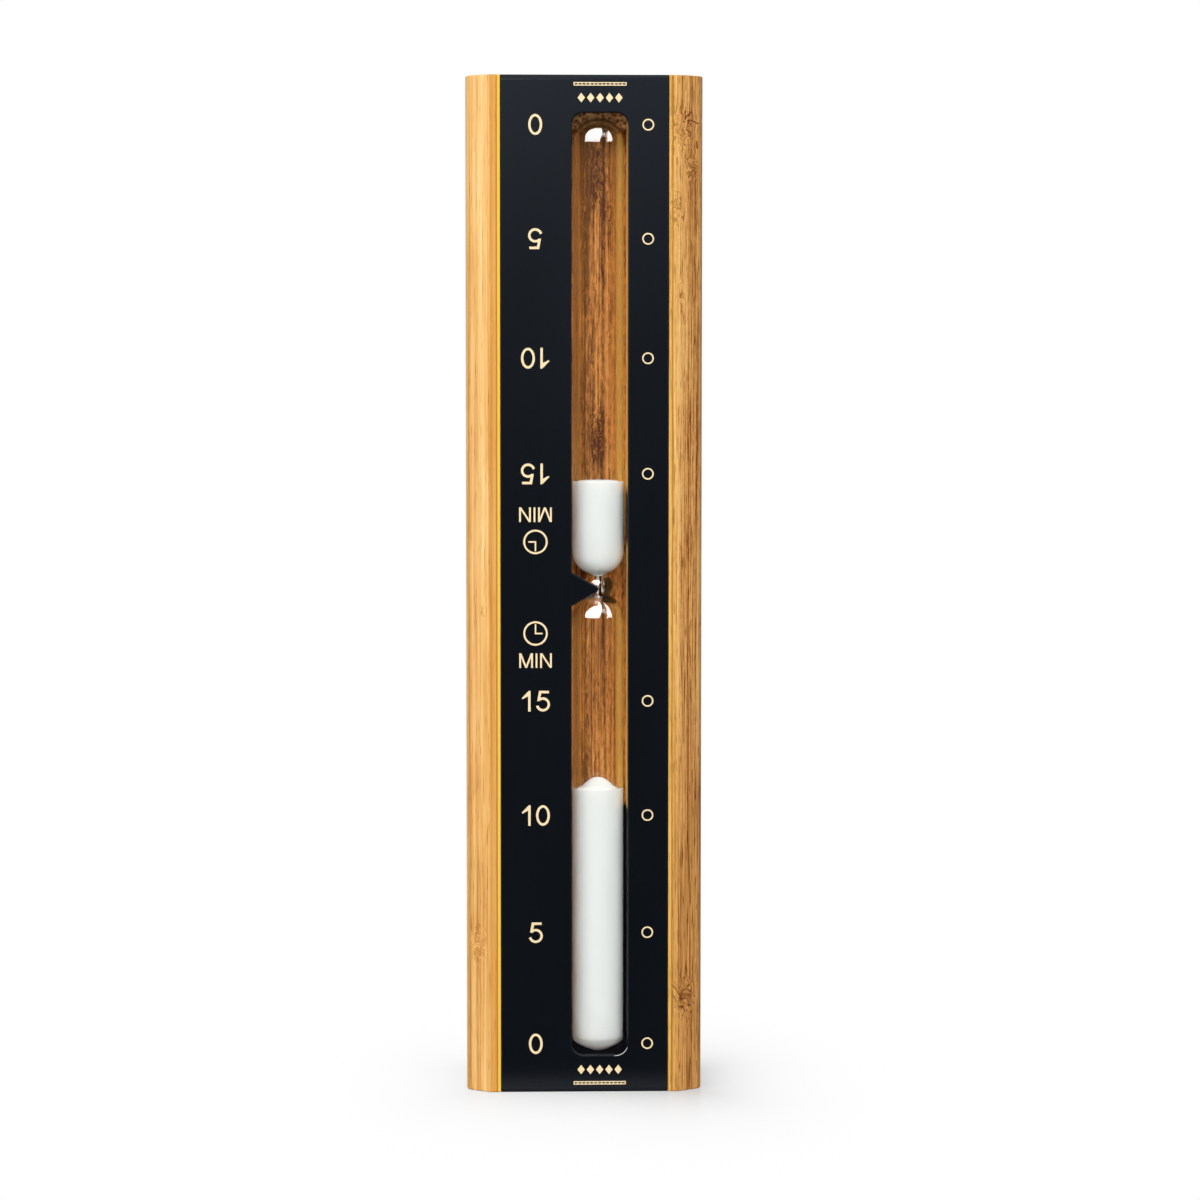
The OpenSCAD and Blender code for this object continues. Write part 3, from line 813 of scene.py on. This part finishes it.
def lower_sand():
    """What has run through, with its cone and the soft foot of the cone."""
    inside = below(hollow_outline(-0.06), LOWER_LEVEL)
    rim = inside[-1][0]
    cone = []
    for s in (0.985, 0.94, 0.88, 0.8, 0.7, 0.6, 0.5, 0.4, 0.3, 0.2, 0.1, 0.0):
        slope = 0.5 * (1 + math.cos(math.pi * s**1.25))
        cone.append((rim * s, LOWER_LEVEL + CONE_RISE * slope + 0.15))
    sand = turned("lower_heap", inside + cone)
    settled(sand, white_sand(), "lower_sand")


# ---------------------------------------------------------------- wood and plate


def at(value, target):
    """True for a place within a fiftieth of a millimetre of the target."""
    return abs(value - target) < 0.02


def on_end(p, q):
    """True for an edge that lies in one of the body's two ends."""
    return (at(p.z, 0) and at(q.z, 0)) or (at(p.z, BODY_TOP) and at(q.z, BODY_TOP))


def rail_rim(p, q):
    """True for the outer edges round a rail's two ends."""
    outer = all(abs(v.x) > HALF_FLAT - 0.1 or v.y < FRONT + 0.1 for v in (p, q))
    return on_end(p, q) and outer and not (at(p.y, JOINT) and at(q.y, JOINT))


def board_rim(p, q):
    """True for the outer edges round the back board's two ends."""
    outer = all(abs(v.x) > HALF_BODY - 2.1 or v.y > BACK - 0.1 for v in (p, q))
    return on_end(p, q) and outer and not (at(p.y, JOINT) and at(q.y, JOINT))


def recess_rim(p, q):
    """True for the edge round the recess in the back."""
    return all(
        at(v.y, BACK) and abs(math.hypot(v.x, v.z - MIDDLE) - RECESS_R) < 0.1 for v in (p, q)
    )


# On the front view, in millimetres. Knots: middle x and z, half width and half height.
# Streaks: the same, and how dark. Slashes: x and z of both ends, and half width.
LEFT_KNOTS = [(-31.6, 44, 1.6, 3.4), (-26.9, 226, 0.7, 2.2), (-30.2, 143, 0.5, 1.4)]
RIGHT_KNOTS = [
    (28.4, 284, 2.4, 4.4), (29.8, 28, 2.4, 4.8), (31.5, 273, 1.6, 3.0),
    (27.2, 262, 1.6, 3.4), (28.2, 236, 0.8, 2.4),
]
RIGHT_STREAKS = [(30, 38, 8.0, 62.0, 0.22)]
RIGHT_SLASHES = [
    (25.9, 31.9, 31.3, 25.4, 0.34), (31.2, 31.6, 29.0, 28.0, 0.3),
    (26.1, 28.8, 27.5, 26.9, 0.3), (28.8, 25.4, 30.2, 23.8, 0.3),
    (29.3, 287.2, 30.9, 289.3, 0.34), (31.0, 286.9, 33.2, 286.1, 0.3),
    (32.9, 280.8, 33.0, 278.9, 0.34), (29.4, 289.4, 29.3, 287.2, 0.3),
]
BOARD_KNOTS = [
    (8.6, 224, 0.8, 1.6), (-0.8, 259, 1.2, 4.0), (4.8, 194, 2.2, 6.0),
    (8.6, 262, 1.4, 5.0), (4.0, 272, 2.4, 6.0),
]
BOARD_STREAKS = [
    (4.4, 193, 2.4, 8.0, 0.42), (3.0, 272, 3.4, 12.0, 0.4),
    (2.2, 122, 0.35, 40.0, 0.8), (4.8, 132, 2.0, 14.0, 0.3),
    (8.6, 258, 1.4, 9.0, 0.35), (0.5, 248, 1.2, 14.0, 0.3),
]


def wooden_body():
    """The two rails, the board behind them and the blocks at both ends of the groove."""
    honey = (rgb(188, 122, 54), rgb(240, 185, 109), rgb(255, 228, 166))
    amber = (rgb(120, 62, 24), rgb(222, 160, 87), rgb(252, 208, 136))
    toasted = (rgb(96, 50, 16), rgb(236, 158, 80), rgb(255, 208, 122))
    light = bamboo(
        "bamboo_left", honey, 1.0, 0.9, 1.0, LEFT_KNOTS,
        rosy_share=0.15, trim=Trim(0.8, rgba(206, 140, 40), 0.6, 0.0),
    )
    warm = bamboo(
        "bamboo_right", amber, 27.0, 0.75, 1.8, RIGHT_KNOTS, RIGHT_STREAKS, RIGHT_SLASHES,
        knot_depth=0.17, specks=0.6, trim=Trim(0.25, rgba(252, 202, 104), 0.2, 0.1),
    )
    deep = bamboo(
        "bamboo_back", toasted, 41.0, 1.1, 1.3, BOARD_KNOTS, BOARD_STREAKS,
        rosy_share=0.1, specks=1.1, is_board=True,
    )
    softened("left_rail", "left_stave", [(rail_rim, 0.45)], light)
    softened("right_rail", "right_stave", [(rail_rim, 0.45)], warm)
    board_rims = [(board_rim, 0.45), (recess_rim, 0.5)]
    softened("back_board", "rear_board", board_rims, deep)
    painted("top_block", deep)
    painted("bottom_block", deep)


def plate_rim(p, q):
    """True for all edges of the plate's front face."""
    return at(p.y, PLATE_FRONT) and at(q.y, PLATE_FRONT)


def front_plate():
    softened("front_plate", "black_plate", [(plate_rim, 0.4)], satin_black())


def scale_marks():
    ink = pale_print()
    for half in ("upper", "lower"):
        for mark in ("numerals", "rings", "clock", "unit", "end_mark"):
            painted(f"{half}_{mark}", ink)


def tapes_and_cushions():
    tape = foam_tape()
    painted("left_tape", tape)
    painted("right_tape", tape)
    painted("top_cushion", cork())
    # the bottom cushion's black is partly painted shade at the groove's lower end; the top one
    # stays brown
    painted("bottom_cushion", black_rubber())


def hanger():
    """The swivel in the back: disc, screw, bush, washer and insert."""
    steel = turned_metal("satin_steel", rgb(150, 152, 156), rgb(206, 207, 210), 0.26)
    painted("wall_disc", steel)
    eased("wall_disc", 0.18)
    screw = turned_metal("screw_steel", rgb(140, 142, 148), rgb(198, 199, 204), 0.2)
    painted("pivot_screw", screw)
    eased("pivot_screw", 0.15)
    painted("disc_bush", nylon())
    eased("disc_bush", 0.1)
    painted("friction_washer", brown_fibre())
    brass = turned_metal("turned_brass", rgb(196, 152, 74), rgb(232, 198, 122), 0.24)
    painted("threaded_insert", brass)


# ---------------------------------------------------------------- stage, light and camera

WHITE = (1.0, 1.0, 1.0, 1.0)
# The photograph's view, worked out from the timer's converging edges: metres and degrees
EYE = (-0.03117, -1.1, 0.21583)
YAW, PITCH, ROLL = 1.8876, 3.6667, 0.025
LENS = 110.68


def floor():
    """A pale floor that stays white to the camera and keeps the timer's shadow, with a painted
    shadow that darkens it near the timer, more to the right.
    """
    f = Finish("pale_floor")
    place = f.place()
    x, y, z = f.parts(place)
    beside = (x.size() - HALF_BODY * MM).do("MAXIMUM", 0.0)
    away = (y.size() + FRONT * MM).do("MAXIMUM", 0.0)
    near = ((beside * beside * 4.0 + away * away).root() * -40.0).exp()
    grain = f.noise(place, (40, 40, 40), 3, 2)
    pale = f.surface(
        Base_Color=f.blend(grain, (0.43, 0.43, 0.435, 1), (0.46, 0.46, 0.46, 1)),
        Roughness=0.28,
        Specular_IOR_Level=0.25,
    )
    # Painted shadow: the floor is less white near the timer, and more so to its right
    to_the_right = ((x + HALF_BODY * MM) / (2 * HALF_BODY * MM)).limited()
    white_share = (1.0 - near * (to_the_right * 0.34 + 0.22)) * f.ray("Is Camera Ray")
    shader = f.mixed(white_share, pale, f.glow(WHITE, 1.0))
    in_front = ((y + 30 * MM) * -60.0).limited() * f.ray("Is Glossy Ray")
    shader = f.mixed(in_front, shader, f.glow(WHITE, 0.03))
    nothing_selected()
    bpy.ops.mesh.primitive_circle_add(
        vertices=64, radius=4.0, fill_type="NGON", location=(0, 0, -0.00005)
    )
    ground = bpy.context.object
    ground.name = "pale_ground"
    bpy.ops.object.transform_apply(location=True)
    ground.data.materials.append(f.shown(shader))


def backdrop():
    """White behind the timer and a dim room, with two windows that only clear glass mirrors."""
    world = bpy.data.worlds.new("studio")
    bpy.context.scene.world = world
    f = Finish("studio", world)
    x, y, z = f.parts(f.add("ShaderNodeTexCoord", out="Generated"))
    mirrored = f.ray("Is Glossy Ray")
    sharp = f.ray("Is Singular Ray")
    unscattered = (1.0 - f.ray("Diffuse Depth")).limited()
    behind = ((y + 0.15) * 1.7).limited()
    around = x.do("ARCTAN2", -y)
    slant = around - z * 0.48
    left = band(slant, -2.3, 0.07, 0.05) * band(z, 0.10, 1.05, 0.03)
    right = band(slant, 0.58, 2.3, 0.05) * band(z, 0.10, 0.95, 0.03)
    windows = (left + right).limited() * sharp * unscattered
    room = f.glow((0.93, 0.96, 1.0, 1.0), 0.13)
    dark = f.glow((0.93, 0.96, 1.0, 1.0), 0.03)
    bluish = f.glow((0.80, 0.94, 1.12, 1.0), 1.5)
    window = f.glow((1.0, 0.99, 0.97, 1.0), 22.0)
    above_horizon = ((z - 0.040) * 24.0).limited() * (1.0 - sharp)
    above_horizon = above_horizon * (1.0 - (around * 14.0).limited() * 0.45)
    dim = f.mixed(mirrored * unscattered, room, f.mixed(above_horizon, dark, bluish))
    open_side = (mirrored + f.ray("Is Transmission Ray")) * behind
    studio = f.mixed((f.ray("Is Camera Ray") + open_side).limited(), dim, f.glow(WHITE, 1.0))
    f.shown(f.mixed(windows * mirrored, studio, window))


def softbox(name, azimuth, elevation, distance, wide, high, power):
    """A soft lamp aimed at the timer's middle. Azimuth 0 is in front, and negative is left."""
    a, e = math.radians(azimuth), math.radians(elevation)
    way = Vector((math.sin(a) * math.cos(e), -math.cos(a) * math.cos(e), math.sin(e)))
    lamp = bpy.data.lights.new(name, "AREA")
    lamp.shape = "RECTANGLE"
    lamp.size = wide
    lamp.size_y = high
    lamp.energy = power
    lamp.color = (1.0, 0.985, 0.96)
    piece = bpy.data.objects.new(name, lamp)
    bpy.context.scene.collection.objects.link(piece)
    piece.location = Vector((0, 0, MIDDLE * MM)) + way * distance
    piece.rotation_euler = (-way).to_track_quat("-Z", "Y").to_euler()


def lights():
    softbox("left_softbox", -38, 37, 3.4, 3.7, 2.6, 96.0)
    softbox("front_softbox", 14, 32, 3.2, 2.2, 1.2, 52.0)


def camera():
    yaw, pitch, roll = math.radians(YAW), math.radians(PITCH), math.radians(ROLL)
    forward = Vector(
        (math.sin(yaw) * math.cos(pitch), math.cos(yaw) * math.cos(pitch), -math.sin(pitch))
    )
    right = Vector((math.cos(yaw), -math.sin(yaw), 0))
    up = right.cross(forward)
    right, up = (
        math.cos(roll) * right + math.sin(roll) * up,
        math.cos(roll) * up - math.sin(roll) * right,
    )
    view = bpy.data.cameras.new("view")
    view.lens = LENS
    view.sensor_width = 36.0
    view.clip_start = 0.05
    view.clip_end = 30.0
    piece = bpy.data.objects.new("view", view)
    bpy.context.scene.collection.objects.link(piece)
    piece.matrix_world = Matrix.Translation(EYE) @ Matrix(
        (
            (right.x, up.x, -forward.x, 0),
            (right.y, up.y, -forward.y, 0),
            (right.z, up.z, -forward.z, 0),
            (0, 0, 0, 1),
        )
    )
    bpy.context.scene.camera = piece


wooden_body()
front_plate()
glass_tube()
upper_sand()
lower_sand()
scale_marks()
tapes_and_cushions()
hanger()
floor()
backdrop()
lights()
camera()
bpy.context.scene.view_settings.view_transform = "Standard"
